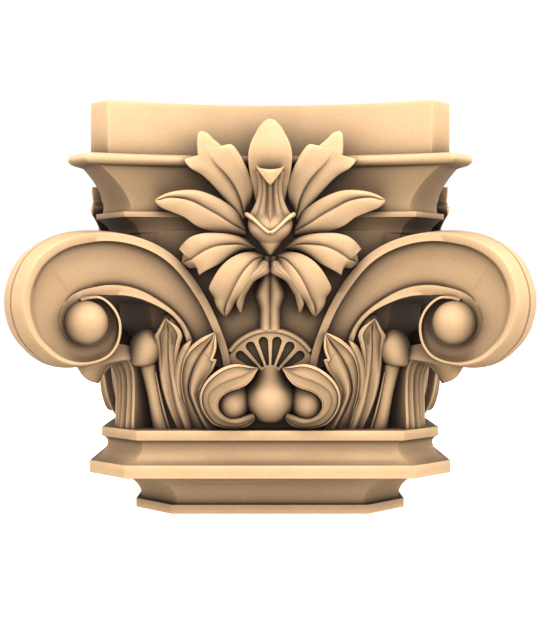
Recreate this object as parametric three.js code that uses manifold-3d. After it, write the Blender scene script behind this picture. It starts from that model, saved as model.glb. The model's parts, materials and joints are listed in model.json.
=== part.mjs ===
// Carved stone capital: one block with base mouldings, leaf bell, corner volutes, palmettes and abacus.
// Millimetres, +Z up, the origin at the middle of the underside, one face to -Y.
import * as THREE from 'three'
import Module from 'manifold-3d'

const wasm = await Module()
wasm.setup()

// ---- driving dimensions -------------------------------------------------------------------------
const HEIGHT = 407
const BASE_CHAMFER = 40.4
const FOOT_HALF = 138.7
const FOOT_TOP = 9.2
const CAVETTO_HALF = 133.9
const CAVETTO_FOOT = 12.5
const PLINTH_HALF = 180.3
const PLINTH_FOOT = 41.6
const PLINTH_TOP = 54.3
const SCOTIA_HALF = 164.5
const SCOTIA_WAIST = 70.8
const UPPER_SLAB_HALF = 169.8
const UPPER_SLAB_FOOT = 76.8
const UPPER_SLAB_TOP = 86.7

const BELL_FOOT_HALF = 143.5
const BELL_FOOT_CHAMFER = 40
const NECK_HALF = 160
const NECK_CHAMFER = 32.4
const NECK_Z = 280
const FILLET_HALF = 173.4
const FILLET_CHAMFER = 32.1
const FILLET_FOOT = 294.1
const FILLET_TOP = 299.6
const FILLET_SAG = 10
const COVE_HALF = 167
const COVE_TOP_HALF = 184
const COVE_TOP = 343
const BEAD_HALF = 195.6
const BEAD_CHAMFER = 20.4
const BEAD_FOOT = 341.5
const BEAD_TOP = 354.5
const BEAD_SAG = 25
const BLOCK_HALF = 176.4
const BLOCK_CHAMFER = 19.9
const BLOCK_SAG = 29.4

// The volutes' faces lie on an upright arc, from the middle of a face out to the corners.
const ARC_RADIUS = 332
const ARC_MIDDLE = 160.6
const EYE_U = 172.8
const EYE_Z = 192
const EYE_RADIUS = 22
const EYE_HEIGHT = 17
const EYE_OUT = 209
const CHANNEL_DEPTH = 11
const SCROLL_STEP = 20
const SCROLL_START = -20
// radius of the scroll's outer edge round the eye, at every step from the fan up, round and in
const SCROLL_RADII = [
  144, 122, 109, 102, 94, 86, 76.5, 68, 60, 51, 44, 40,
  37.5, 37, 39, 39, 39, 36, 33, 31, 29.5, 28.5, 28,
]
// radius of the ledge that runs along the inner side of the channel, at the same steps
const LEDGE_RADII = [110, 86, 64.5, 50, 39, 31, 27, 23, 18]
const LEDGE_RISE = 8
const RIM_WIDTH = 8.5
const RIM_WIDTH_IN = 2.6
const BAND_CROWN = 3.5

const FAN_Z = 146.5
const FAN_RADIUS = 41.5
const FAN_RIM = 6.8
const FAN_OUT = 163
const FAN_RIBS = 5

const LEAF_ROOT = 136

// ---- small helpers ------------------------------------------------------------------------------
const rad = (deg) => deg * Math.PI / 180
const mix = (a, b, t) => a + (b - a) * t
const clamp = (v, lo, hi) => Math.min(hi, Math.max(lo, v))
const add = (a, b, k = 1) => [a[0] + b[0] * k, a[1] + b[1] * k, a[2] + b[2] * k]
const sub = (a, b) => [a[0] - b[0], a[1] - b[1], a[2] - b[2]]
const dot = (a, b) => a[0] * b[0] + a[1] * b[1] + a[2] * b[2]
const cross = (a, b) => [
  a[1] * b[2] - a[2] * b[1],
  a[2] * b[0] - a[0] * b[2],
  a[0] * b[1] - a[1] * b[0],
]
const unit = (a) => {
  const l = Math.hypot(...a)
  return [a[0] / l, a[1] / l, a[2] / l]
}

// value of a smooth curve through evenly spaced values, at a place counted in steps
function smooth(values, place) {
  const n = values.length - 1
  const t = clamp(place, 0, n)
  const i = Math.min(Math.floor(t), n - 1)
  const f = t - i
  const get = (k) => {
    if (k < 0) return 2 * values[0] - values[1]
    if (k > n) return 2 * values[n] - values[n - 1]
    return values[k]
  }
  const [a, b, c, d] = [get(i - 1), get(i), get(i + 1), get(i + 2)]
  return b + 0.5 * f * (c - a + f * (2 * a - 5 * b + 4 * c - d + f * (3 * (b - c) + d - a)))
}

const smoothPoint = (points, place) => [0, 1, 2].map((k) => smooth(points.map((p) => p[k]), place))

// ---- closed bodies ------------------------------------------------------------------------------
function volume(points, faces) {
  let total = 0
  for (const [a, b, c] of faces) total += dot(points[a], cross(points[b], points[c]))
  return total
}

function body(points, faces) {
  const turned = volume(points, faces) < 0 ? faces.map(([a, b, c]) => [a, c, b]) : faces
  const mesh = new wasm.Mesh({
    numProp: 3,
    vertProperties: new Float32Array(points.flat()),
    triVerts: new Uint32Array(turned.flat()),
  })
  return new wasm.Manifold(mesh)
}

// closed skin over a row of rings of equal counts, flat at its start and flat or pointed at its end
function loft(rings, tip = null) {
  const m = rings[0].length
  const points = rings.flat()
  const faces = []
  for (let r = 0; r + 1 < rings.length; r++) {
    for (let i = 0; i < m; i++) {
      const j = (i + 1) % m
      const [a, b, c, d] = [r * m + i, r * m + j, (r + 1) * m + j, (r + 1) * m + i]
      faces.push([a, b, c], [a, c, d])
    }
  }
  const cap = (start, apex, flip) => {
    const ring = points.slice(start, start + m)
    points.push(apex || ring.reduce((s, p) => add(s, p, 1 / m), [0, 0, 0]))
    const c = points.length - 1
    for (let i = 0; i < m; i++) {
      const j = (i + 1) % m
      faces.push(flip ? [c, start + j, start + i] : [c, start + i, start + j])
    }
  }
  const flat = (start, flip) => {
    for (let i = 1; i + 1 < m; i++) {
      const [a, b, c] = [start, start + i, start + i + 1]
      faces.push(flip ? [a, c, b] : [a, b, c])
    }
  }
  const end = (rings.length - 1) * m
  if (m > 5) cap(0, null, true)
  else flat(0, true)
  if (tip || m > 5) cap(end, tip, false)
  else flat(end, false)
  return body(points, faces)
}

// place of a point given as along the face, up, and out from the axis
const onFace = ([u, v, d]) => [u, -d, v]

// ---- mouldings ----------------------------------------------------------------------------------
// outline of one level: a square with cut corners, its sides hollowed by sag
function outline(half, chamfer, sag, z, pieces) {
  const ring = []
  const end = half - chamfer
  for (let side = 0; side < 4; side++) {
    const [c, s] = [Math.cos(side * Math.PI / 2), Math.sin(side * Math.PI / 2)]
    for (let i = 0; i <= pieces; i++) {
      const x = mix(-end, end, i / pieces)
      const y = -(half - sag * (1 - (x / end) ** 2))
      ring.push([x * c - y * s, x * s + y * c, z])
    }
  }
  return ring
}

const level = (z, half, chamfer, sag = 0) => ({ z, half, chamfer, sag })

// levels of a curve that starts upright at a and flares to b
function flare(a, b, power, count) {
  const levels = []
  for (let i = 0; i <= count; i++) {
    const t = i / count
    const k = t ** power
    levels.push(level(
      mix(a.z, b.z, t), mix(a.half, b.half, k), mix(a.chamfer, b.chamfer, t), mix(a.sag, b.sag, t),
    ))
  }
  return levels
}

// levels of a half-round bead between two heights
function bead(foot, top, half, chamfer, sag, proud, count) {
  const levels = []
  for (let i = 0; i <= count; i++) {
    const a = Math.PI * i / count
    const out = half - proud + proud * Math.sin(a)
    levels.push(level(mix(foot, top, (1 - Math.cos(a)) / 2), out, chamfer, sag))
  }
  return levels
}

function stack(levels, pieces) {
  return loft(levels.map((l) => outline(l.half, l.chamfer, l.sag, l.z, pieces)))
}

function base() {
  const c = BASE_CHAMFER
  return stack([
    level(0, FOOT_HALF, c),
    level(FOOT_TOP, FOOT_HALF, c),
    level(FOOT_TOP, CAVETTO_HALF, c),
    ...flare(level(CAVETTO_FOOT, CAVETTO_HALF, c), level(PLINTH_FOOT, 160, c), 2.1, 3),
    level(PLINTH_FOOT, PLINTH_HALF, c),
    level(PLINTH_TOP, PLINTH_HALF, c),
    ...flare(level(SCOTIA_WAIST, SCOTIA_HALF, c), level(PLINTH_TOP + 0.5, 178, c), 2.6, 3).reverse(),
    level(UPPER_SLAB_FOOT, SCOTIA_HALF + 3, c),
    level(UPPER_SLAB_FOOT, UPPER_SLAB_HALF, c),
    level(UPPER_SLAB_TOP, UPPER_SLAB_HALF, c),
  ], 1)
}

function bell() {
  return stack([
    level(UPPER_SLAB_TOP - 4, BELL_FOOT_HALF, BELL_FOOT_CHAMFER),
    ...flare(
      level(UPPER_SLAB_TOP, BELL_FOOT_HALF, BELL_FOOT_CHAMFER),
      level(NECK_Z, NECK_HALF, NECK_CHAMFER),
      1, 1,
    ),
    level(NECK_Z + 4, NECK_HALF, NECK_CHAMFER),
  ], 1)
}

function abacus() {
  const neck = level(NECK_Z, NECK_HALF + 1, NECK_CHAMFER, 6)
  const fillet = level(FILLET_FOOT, FILLET_HALF - 1.5, FILLET_CHAMFER, FILLET_SAG)
  const cove = level(FILLET_TOP + 3, COVE_HALF, FILLET_CHAMFER, 12)
  const coveTop = level(COVE_TOP, COVE_TOP_HALF, BEAD_CHAMFER, BEAD_SAG)
  return stack([
    level(NECK_Z - 6, NECK_HALF - 4, NECK_CHAMFER, 2),
    ...flare(neck, fillet, 1.8, 1),
    level(FILLET_FOOT, FILLET_HALF, FILLET_CHAMFER, FILLET_SAG),
    level(FILLET_TOP, FILLET_HALF, FILLET_CHAMFER, FILLET_SAG),
    ...flare(cove, coveTop, 1.9, 2),
    ...bead(BEAD_FOOT + 1.6, BEAD_TOP, BEAD_HALF, BEAD_CHAMFER, BEAD_SAG, 6.5, 2),
    level(BEAD_TOP + 0.1, BLOCK_HALF, BLOCK_CHAMFER, BLOCK_SAG),
    level(HEIGHT, BLOCK_HALF, BLOCK_CHAMFER, BLOCK_SAG),
  ], 4)
}

// ---- volutes ------------------------------------------------------------------------------------
const arcOut = (u) => ARC_MIDDLE + ARC_RADIUS - Math.sqrt(ARC_RADIUS ** 2 - u * u)

// front point of the scroll at an angle and radius round its eye, sunk below the arc by depth
function scrollPoint(angle, radius, depth) {
  const u = EYE_U - radius * Math.cos(rad(angle))
  const z = EYE_Z + radius * Math.sin(rad(angle))
  return [-u, -(arcOut(u) - depth), z]
}

// the same point on the neighbouring face of the same corner
const twin = ([x, y, z]) => [y, x, z]

const rimWidth = (angle) => mix(RIM_WIDTH, RIM_WIDTH_IN, clamp((angle - 80) / 200, 0, 1))

// outer edge at the corner's middle plane, where the band between the two faces is crowned
function crownPoint(angle, radius) {
  const [x, y, z] = scrollPoint(angle, radius, 0)
  const m = (x + y) / 2
  const k = BAND_CROWN / Math.SQRT2
  return [m + k * Math.cos(rad(angle)), m + k * Math.cos(rad(angle)), z + BAND_CROWN * Math.sin(rad(angle))]
}

// the broad channel, from the fan up over the top and down the outer side of the eye
function scrollBand() {
  const rings = []
  const steps = 7
  for (let k = 0; k <= steps; k++) {
    const angle = mix(SCROLL_START, 240, k / steps)
    const i = (angle - SCROLL_START) / SCROLL_STEP
    const outer = smooth(SCROLL_RADII, i)
    const inside = outer - rimWidth(angle)
    const ledge = smooth(LEDGE_RADII, i)
    const rise = mix(LEDGE_RISE, 0, clamp((angle - 20) / 80, 0, 1))
    const floor = mix(CHANNEL_DEPTH, 8, clamp((angle - 180) / 60, 0, 1))
    const front = [
      scrollPoint(angle, outer, 0),
      scrollPoint(angle, inside, 0),
      scrollPoint(angle, inside - 1, floor * 0.85),
      scrollPoint(angle, Math.min(ledge, inside - 5), floor - rise),
    ]
    rings.push([...front, ...front.map(twin).reverse(), crownPoint(angle, outer)])
  }
  return loft(rings)
}

// the last turn round the eye, dished towards it
function scrollDisc() {
  const count = 9
  const circle = (place) => {
    const ring = []
    for (let i = 0; i < count; i++) {
      const angle = 60 + 360 * i / count
      const radius = angle < 240 ? 25 : smooth(SCROLL_RADII, (angle - SCROLL_START) / SCROLL_STEP)
      ring.push(place(angle, radius, angle < 240 ? 9 : 0))
    }
    return ring
  }
  const front = circle((angle, r, sunk) => scrollPoint(angle, r, sunk))
  const floor = circle((angle) => scrollPoint(angle, 10, 10))
  return loft([
    floor, front, circle((angle, r) => crownPoint(angle, r)), front.map(twin), floor.map(twin),
  ])
}

function volute() {
  const eye = turned([
    [-EYE_U, EYE_Z - EYE_HEIGHT, EYE_OUT, 13, 13],
    [-EYE_U, EYE_Z, EYE_OUT, EYE_RADIUS, EYE_RADIUS],
    [-EYE_U, EYE_Z + EYE_HEIGHT, EYE_OUT, 13, 13],
  ], 6)
  return [scrollBand(), scrollDisc(), eye, eye.mirror([1, -1, 0])]
}

// ---- leaves -------------------------------------------------------------------------------------
// A leaf is a spine of [along, up, out] points with a half width at each. Its front is ridged by
// crown, and its back narrows to a keel that is rooted in the block.
function blade({ spine, widths, crown = 3, root = LEAF_ROOT, steps = 3, pointed = true, place = onFace }) {
  const rings = []
  const n = spine.length - 1
  const out = [0, 0, 1]
  for (let i = 0; i <= steps; i++) {
    const t = i / steps * n
    const p = smoothPoint(spine, t)
    const ahead = smoothPoint(spine, Math.min(t + 0.05, n))
    const behind = smoothPoint(spine, Math.max(t - 0.05, 0))
    const tangent = unit(sub(ahead, behind))
    const side = unit(cross(tangent, out))
    const normal = unit(cross(side, tangent))
    const w = Math.max(smooth(widths, t), 0.7)
    const c = crown * Math.min(1, w / 6)
    rings.push([
      add(p, side, -w),
      add(p, normal, c),
      add(p, side, w),
      [p[0], p[1], Math.min(root, p[2] - 4)],
    ].map(place))
  }
  if (!pointed) return loft(rings)
  rings.pop()
  return loft(rings, place(smoothPoint(spine, n)))
}

// A lobed leaf is a row of stations from its foot to its tip, each with its left edge, its raised
// middle and its right edge as [along, up, out]. Its back is a keel, thick behind the middle.
function lobedLeaf({ rows, tip = null, thick = 12, root = null, place = onFace }) {
  const rings = rows.map(([left, middle, right]) => {
    const back = root === null ? middle[2] - thick : Math.min(root, middle[2] - 4)
    return [left, middle, right, [middle[0], middle[1], back]].map(place)
  })
  return loft(rings, tip && place(tip))
}

// body of rounded cross sections up a line: stations are [along, up, out, half width, half depth]
function turned(stations, sides = 6, tip = null) {
  const rings = stations.map(([u, v, d, w, h]) => {
    const ring = []
    for (let i = 0; i < sides; i++) {
      const a = 2 * Math.PI * (i + 0.5) / sides
      ring.push(onFace([u + w * Math.cos(a), v, d + h * Math.sin(a)]))
    }
    return ring
  })
  return loft(rings, tip && onFace(tip))
}

// ---- the parts of one face ----------------------------------------------------------------------
// Left half of a face, in millimetres: along the face (minus is left), up, and out from the axis.
const PALM_LEAVES = [
  // upper leaf with three lobes
  {
    rows: [
      [[-20, 283, 167], [-16, 292, 175], [-10, 303, 168]],
      [[-60, 325, 177], [-41, 328, 183], [-22, 335, 177]],
      [[-82.5, 348.5, 180], [-54, 345, 186], [-28, 351, 181]],
      [[-69, 351.5, 181], [-58, 355, 186], [-40.5, 364, 179]],
    ],
    tip: [-66, 377.5, 178],
    thick: 15,
  },
  // lance leaf
  {
    rows: [
      [[-14, 284, 169], [-13, 277, 176], [-14, 270, 168]],
      [[-51, 311, 176], [-54, 299, 183], [-56, 280, 175]],
      [[-79, 320, 180], [-82, 310, 186], [-89, 298, 178]],
    ],
    tip: [-111.5, 310, 180],
    thick: 20,
  },
  // the leaf below it, with two points
  {
    rows: [
      [[-12, 264, 170], [-16, 260, 177], [-19, 256, 170]],
      [[-42, 276, 177], [-40, 266, 184], [-39, 255, 178]],
      [[-67, 277, 180], [-59, 262, 186], [-56, 245, 180]],
      [[-89, 263, 175], [-71, 256, 182], [-70, 237.5, 175]],
    ],
    tip: [-76, 250, 176],
    root: 152,
  },
  // the hanging leaf
  {
    rows: [
      [[-6, 258, 174], [-8, 250, 181], [-9, 238, 174]],
      [[-40, 251, 184], [-29, 236, 190], [-21, 223, 183]],
      [[-57.5, 227, 179], [-43, 214, 183], [-30, 201, 176]],
    ],
    tip: [-47, 200, 169],
    root: 150,
  },
]

const BELL_LEAVES = [
  // tall leaf beside the bud
  {
    rows: [
      [[-98, 87, 153], [-88, 87, 158], [-78, 87, 153]],
      [[-108, 138, 160], [-99, 138, 167], [-90, 138, 161]],
      [[-112, 180, 170], [-99, 181, 179], [-85.5, 182, 172]],
    ],
    tip: [-101, 195.5, 182],
    root: LEAF_ROOT,
  },
  // the next leaf, with a lobe to its side
  {
    rows: [
      [[-76, 87, 154], [-66, 87, 160], [-53, 87, 154]],
      [[-87, 126, 161], [-78, 126, 168], [-66, 128, 162]],
      [[-86, 155, 168], [-73, 155, 176], [-51.5, 155, 174]],
      [[-65, 178.5, 173], [-59, 176, 179], [-52, 170, 173]],
    ],
    tip: [-54, 183, 177],
    root: LEAF_ROOT,
  },
]

// the hooked leaf that curls round the small ball
const HOOK_LEAF = {
  spine: [
    [-9, 147, 178], [-26, 140, 184], [-46, 135, 184], [-58, 123, 180],
    [-58, 110, 176], [-52, 100, 174], [-39, 94, 174], [-25, 95, 176], [-16, 99, 176],
  ],
  widths: [2, 9, 12, 11.5, 9, 7, 5, 6, 4],
  steps: 5,
  pointed: false,
}

function halfFace() {
  const bodies = [...PALM_LEAVES, ...BELL_LEAVES].map(lobedLeaf)
  bodies.push(blade(HOOK_LEAF))
  // stalk at the side of the bell and the bud it carries
  bodies.push(turned([
    [-107, 84, 146, 10, 13], [-118, 149, 152, 8, 10],
    [-121, 159, 157, 17, 16], [-121, 174, 158, 15, 14],
  ], 4, [-121, 188, 156]))
  bodies.push(turned([[-38, 103, 163, 10, 10], [-38, 117, 164, 12, 12]], 5))
  // the fan's raised arch, and its ribs
  const rim = []
  for (let i = 0; i <= 3; i++) {
    const a = rad(mix(88, 152, i / 3))
    const ring = []
    for (const [r, d] of [
      [FAN_RADIUS, FAN_OUT], [FAN_RADIUS - FAN_RIM, FAN_OUT],
      [FAN_RADIUS - FAN_RIM, LEAF_ROOT], [FAN_RADIUS, LEAF_ROOT],
    ]) ring.push(onFace([r * Math.cos(a), FAN_Z + r * Math.sin(a), d]))
    rim.push(ring)
  }
  bodies.push(loft(rim))
  return bodies
}

function middleOfFace() {
  const bodies = []
  // the fan's pleats, ribs standing proud of the recesses between them
  const pleats = (r) => {
    const ring = []
    const count = FAN_RIBS * 2 + 1
    for (let i = 0; i <= count + 1; i++) {
      const a = rad(mix(148, 32, i / (count + 1)))
      ring.push([r * Math.cos(a), FAN_Z + r * Math.sin(a), i % 2 ? FAN_OUT - 11 : FAN_OUT - 2])
    }
    ring.push([r * 0.8, FAN_Z, LEAF_ROOT], [-r * 0.8, FAN_Z, LEAF_ROOT])
    return ring.map(onFace)
  }
  bodies.push(loft([pleats(8), pleats(FAN_RADIUS - FAN_RIM + 1.5)]))
  // the large ball and its neck
  bodies.push(turned([
    [0, 93, 162, 17, 18], [0, 112, 165, 28, 28], [0, 131, 163, 21, 22],
  ], 6, [0, 154, 158]))
  // the paired stalks with their knot
  bodies.push(turned([
    [0, 182, 160, 10, 8], [0, 207, 163, 10, 9], [0, 215, 165, 16, 11],
    [0, 225, 165, 9, 9], [0, 254, 172, 8, 9],
  ], 4))
  // the middle petal, the flower's tube and the bulb under it
  bodies.push(blade({
    spine: [[0, 275, 178], [0, 310, 186], [0, 347, 191], [0, 386.5, 178]],
    widths: [14, 18, 20.5, 0], root: 166, steps: 3, crown: 4,
  }))
  bodies.push(turned([
    [0, 336, 190, 15, 12], [0, 305, 183, 18, 12],
    [0, 288, 181, 24, 14], [0, 272, 180, 17, 13],
  ], 4, [0, 252, 175]))
  return bodies
}

// the leaf under a volute, in the corner's own plane: along means across the corner
const onCorner = ([u, v, d]) => {
  const k = Math.SQRT1_2
  return [(-d + u) * k, (-d - u) * k, v]
}

// its trunk, from the foot up: height, half width, and how far out its edges and its middle stand
const TRUNK = [[84, 15.5, 205, 208], [144, 17.2, 206, 208], [158, 20, 217, 221]]
const TRUNK_TOP = [0, 163, 224]
const TRUNK_ROOT = 150
// the claw it sends out and down: half width, then its outer side, edge and inner side as [out, up]
const CLAW = [
  [22, [250, 176], [202, 170], [190, 166]],
  [22.5, [262, 162], [206, 160], [196, 157]],
  [20.5, [261, 153], [213, 155.8], [206, 154]],
  [14.6, [256.8, 144.6], [223, 154.8], [217.2, 152]],
  [7.2, [248.4, 136], [231, 147.6], [228.5, 145.4]],
]
const CLAW_TIP = [0, 132.4, 236.5]

function trunk() {
  return loft(TRUNK.map(([up, half, edge, middle]) => [
    [-half, up, edge], [0, up, middle], [half, up, edge],
    [half * 0.8, up, TRUNK_ROOT], [-half * 0.8, up, TRUNK_ROOT],
  ].map(onCorner)), onCorner(TRUNK_TOP))
}

function claw() {
  const count = 8
  return loft(CLAW.map(([half, outer, edge, inner]) => {
    const ring = []
    for (let i = 0; i < count; i++) {
      const [side, front] = [Math.sin(rad(360 * i / count)), Math.cos(rad(360 * i / count))]
      const far = front > 0 ? outer : inner
      const [out, up] = [0, 1].map((k) => mix(edge[k], far[k], Math.abs(front)))
      ring.push(onCorner([half * side, up, out]))
    }
    return ring
  }), onCorner(CLAW_TIP))
}

// ---- the block ----------------------------------------------------------------------------------
const mirrored = (solid) => solid.mirror([1, 0, 0])
const turnedTo = (solid, quarter) => solid.rotate([0, 0, 90 * quarter])

const half = wasm.Manifold.union(halfFace())
const face = wasm.Manifold.union(
  [half, mirrored(half), ...middleOfFace(), ...volute(), trunk(), claw()],
)
const faces = [0, 1, 2, 3].map((quarter) => turnedTo(face, quarter))
const capital = wasm.Manifold.union([base(), bell(), abacus(), ...faces])

const result = capital.getMesh()
const geometry = new THREE.BufferGeometry()
const positions = new Float32Array(result.numVert * 3)
for (let i = 0; i < result.numVert; i++) {
  for (let k = 0; k < 3; k++) positions[i * 3 + k] = result.vertProperties[i * result.numProp + k]
}
geometry.setAttribute('position', new THREE.BufferAttribute(positions, 3))
geometry.setIndex(new THREE.BufferAttribute(new Uint32Array(result.triVerts), 1))

const stone = new THREE.MeshStandardMaterial({ color: 0xdcb586, roughness: 0.85, metalness: 0 })
const mesh = new THREE.Mesh(geometry, stone)
mesh.name = 'capital'

const group = new THREE.Group()
group.name = 'carved_capital'
group.add(mesh)

export default group
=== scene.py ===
"""Carved stone capital with leaves, palmettes and corner volutes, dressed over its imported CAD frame.

Sizes in the tables are millimetres. A point on a face is written (along, up, out): along the face from
its middle, up from the underside, and out from the capital's upright axis.
"""
import json
import math

import bpy
import numpy as np
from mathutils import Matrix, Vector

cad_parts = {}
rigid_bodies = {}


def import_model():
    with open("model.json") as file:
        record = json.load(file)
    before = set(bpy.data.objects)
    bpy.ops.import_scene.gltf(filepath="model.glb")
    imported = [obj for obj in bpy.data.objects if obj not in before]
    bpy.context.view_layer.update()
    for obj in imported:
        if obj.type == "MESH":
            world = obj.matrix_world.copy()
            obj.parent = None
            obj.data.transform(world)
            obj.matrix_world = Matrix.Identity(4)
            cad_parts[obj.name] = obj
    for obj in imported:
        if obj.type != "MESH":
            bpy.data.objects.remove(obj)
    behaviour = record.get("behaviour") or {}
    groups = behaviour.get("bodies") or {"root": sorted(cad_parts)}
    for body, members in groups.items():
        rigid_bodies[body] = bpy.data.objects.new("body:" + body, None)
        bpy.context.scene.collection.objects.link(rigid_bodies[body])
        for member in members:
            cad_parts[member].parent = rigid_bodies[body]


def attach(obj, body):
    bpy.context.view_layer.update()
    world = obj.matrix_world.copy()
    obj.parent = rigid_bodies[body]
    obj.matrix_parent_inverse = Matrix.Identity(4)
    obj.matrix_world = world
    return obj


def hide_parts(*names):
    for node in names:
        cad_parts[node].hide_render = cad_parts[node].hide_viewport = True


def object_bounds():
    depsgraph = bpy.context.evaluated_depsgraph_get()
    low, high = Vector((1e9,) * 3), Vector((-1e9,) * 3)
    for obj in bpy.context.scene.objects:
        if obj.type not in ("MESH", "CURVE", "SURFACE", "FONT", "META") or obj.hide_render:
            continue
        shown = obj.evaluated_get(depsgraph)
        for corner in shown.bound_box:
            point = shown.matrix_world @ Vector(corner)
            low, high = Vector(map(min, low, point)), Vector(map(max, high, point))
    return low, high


bl_info = {
    "name": "Carved capital",
    "version": (1, 0, 0),
    "blender": (4, 5, 0),
    "location": "3D View > Sidebar > Capital",
    "description": "Mouldings, palmettes, bell leaves and volutes of a carved stone capital",
    "category": "Object",
}

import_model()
CAD_BOX = [[float(c) for c in corner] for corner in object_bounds()]

NODE = "capital"
BODY = "root"
MM = 0.001
HEIGHT = (CAD_BOX[1][2] - CAD_BOX[0][2]) / MM

# ---- mouldings
BASE_CHAMFER = 40.4
FOOT_TOP = 9.2
# the curve over the foot: its lower and upper end, and its half widths there
CAVETTO = (12.5, 41.6)
CAVETTO_HALF = (133.9, 160)
PLINTH_TOP = 54.3
# the hollow between the two slabs: (up, half width)
SCOTIA = (
    (54.3, 178), (55.2, 175.4), (56.6, 172.7), (58.6, 170.3), (61, 168.4), (64, 166.6), (67.4, 165.2),
    (70.8, 164.5), (73.2, 165), (75.2, 166.4), (76.8, 168.2),
)
UPPER_SLAB_TOP = 86.7
NECK_Z = 280.0
# edges that turn by more than this are eased, in degrees
ARRIS_ANGLE = 28

# ---- volutes: upright scroll faces on an arc from the middle of a face out to the corners
ARC_RADIUS = 332.0
ARC_MIDDLE = 160.6
EYE_ALONG = 172.8
EYE_UP = 192.0
EYE_OUT = 206.0
SCROLL_START = -20
SCROLL_END = 459
SCROLL_STEP = 2.6
# the band's grooves fade from the second angle to the first, where the scroll turns under
BAND_GROOVES_END = (300, 260)
# the rim's and the channel's size in the tables below
DRAWN_RIM = 8.5
DRAWN_CHANNEL = 11.5
# angles: the ledge's foot gives way to the turn inside it, which it leaves again
FOOT_END = 52
TURN_END = 99
# past this angle the channel's floor rises or falls to the ledge
INNER_FROM = 120
# how far the channel's floor swells between rim and ledge
CHANNEL_SWELL = 1.2
# the share of the channel's width over which its wall rounds into its floor
CHANNEL_ROUND = 1 / 2.2
# angle round the eye: radius of the scroll's outer edge
SCROLL = (
    (-20, 144), (0, 122), (20, 109), (40, 102), (60, 94), (80, 86.5), (100, 79.2), (120, 71.3), (140, 61),
    (160, 52.8), (180, 46.8), (200, 43.4), (220, 41), (240, 40.7), (260, 40), (280, 39), (300, 38.5),
    (320, 36),
    (340, 33), (360, 31), (380, 29.5), (400, 28.5), (420, 28), (438, 25), (459, 21.8),
)
RIM_WIDTH = (
    (-20, 8.5), (90, 8.5), (100, 7.5), (120, 7), (140, 6), (160, 5.5), (180, 5), (220, 4), (260, 3),
    (280, 2.5), (459, 2.3),
)
LEDGE_TOP = (
    (-20, 108), (0, 88), (20, 66.5), (40, 52), (60, 41), (80, 33.5), (100, 30), (120, 28), (160, 24),
    (220, 22.5), (320, 22), (459, 20.5),
)
LEDGE_FOOT = ((-20, 100), (0, 83), (20, 58), (40, 40), (52, 32.5), (60, 29.5), (80, 29.2), (96, 26.6))
# how far below the arc's surface: the channel's floor, and the face of the ledge
FLOOR = ((-20, 12), (60, 11.5), (160, 10.5), (220, 8.5), (300, 7), (459, 6))
LEDGE_SUNK = ((-20, 3.2), (60, 3.2), (85, 4.5), (110, 7), (150, 11), (220, 12), (459, 11))

# ---- leaves of a palmette, left half of a face: rows of (left edge, fold, right edge), foot to tip
def drawn(*rows, **rest):
    """A leaf's drawing: its rows, its tip and what else shapes it.

    corner_left and corner_right number the rows where that edge turns sharply. The keel at the back is
    at root, in millimetres out, or thick millimetres behind the fold.
    """
    return dict(rows=rows, **rest)


def even_rows(*rows):
    """Rows alike on both sides of the middle, from (half width, up, out, up and out at the fold)."""
    return [((-w, up, out), (0, *fold), (w, up, out)) for w, up, out, *fold in rows]


UPPER_LEAF = drawn(
    ((-26.2, 289.6, 166), (-25.1, 298.1, 170), (-22.3, 302.2, 167)),
    ((-37.7, 303.3, 171), (-28.9, 311.2, 175), (-18.3, 310.6, 172)),
    ((-51.4, 320.2, 176), (-36.5, 326.2, 179), (-17, 321.8, 176)),
    ((-64.9, 333.5, 180), (-45, 336.4, 182), (-20.1, 334.1, 178)),
    ((-78.6, 342.4, 182), (-53.6, 344.8, 184), (-24.9, 345.3, 180)),
    ((-82.1, 348.4, 181), (-56.8, 349.8, 185), (-31.1, 356.3, 181)),
    ((-76.7, 350.5, 182), (-59.2, 354.1, 185), (-38, 363.3, 181)),
    ((-69.6, 350.8, 182.5), (-61.1, 357.4, 185), (-41.8, 363, 180.5)),
    ((-70.1, 359.5, 182), (-62.1, 360.9, 184), (-44.2, 359.8, 181)),
    ((-70.2, 368.3, 180.5), (-63.2, 367.4, 182.5), (-54.9, 368.7, 180.5)),
    ((-69.2, 374.4, 179), (-64.8, 373.1, 180), (-60.6, 374.4, 179)),
    tip=(-66.2, 377, 178), corner_left=(7,), corner_right=(8,), thick=15,
)
LANCE_LEAF = drawn(
    ((-24.2, 285.7, 168), (-24.2, 280.6, 171), (-23.3, 276.5, 168)),
    ((-32, 298.9, 173), (-36.6, 286.9, 177), (-39.6, 277.6, 172)),
    ((-43, 307.7, 177), (-49.9, 295.6, 180), (-56.9, 280, 176)),
    ((-55.3, 314.2, 180), (-62, 302.2, 182.5), (-71.1, 285.3, 179)),
    ((-69, 318.6, 182), (-74.3, 308.4, 184), (-82.5, 293.3, 181)),
    ((-84, 319, 183), (-86.6, 311.3, 185), (-94.5, 298.2, 182)),
    ((-99.2, 316, 183), (-99, 311.7, 184.5), (-105.1, 302.7, 183)),
    ((-107.9, 311.9, 182), (-107.3, 309.4, 183), (-109.3, 306.2, 182)),
    tip=(-111.1, 309.6, 181.5), thick=18,
)
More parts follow.
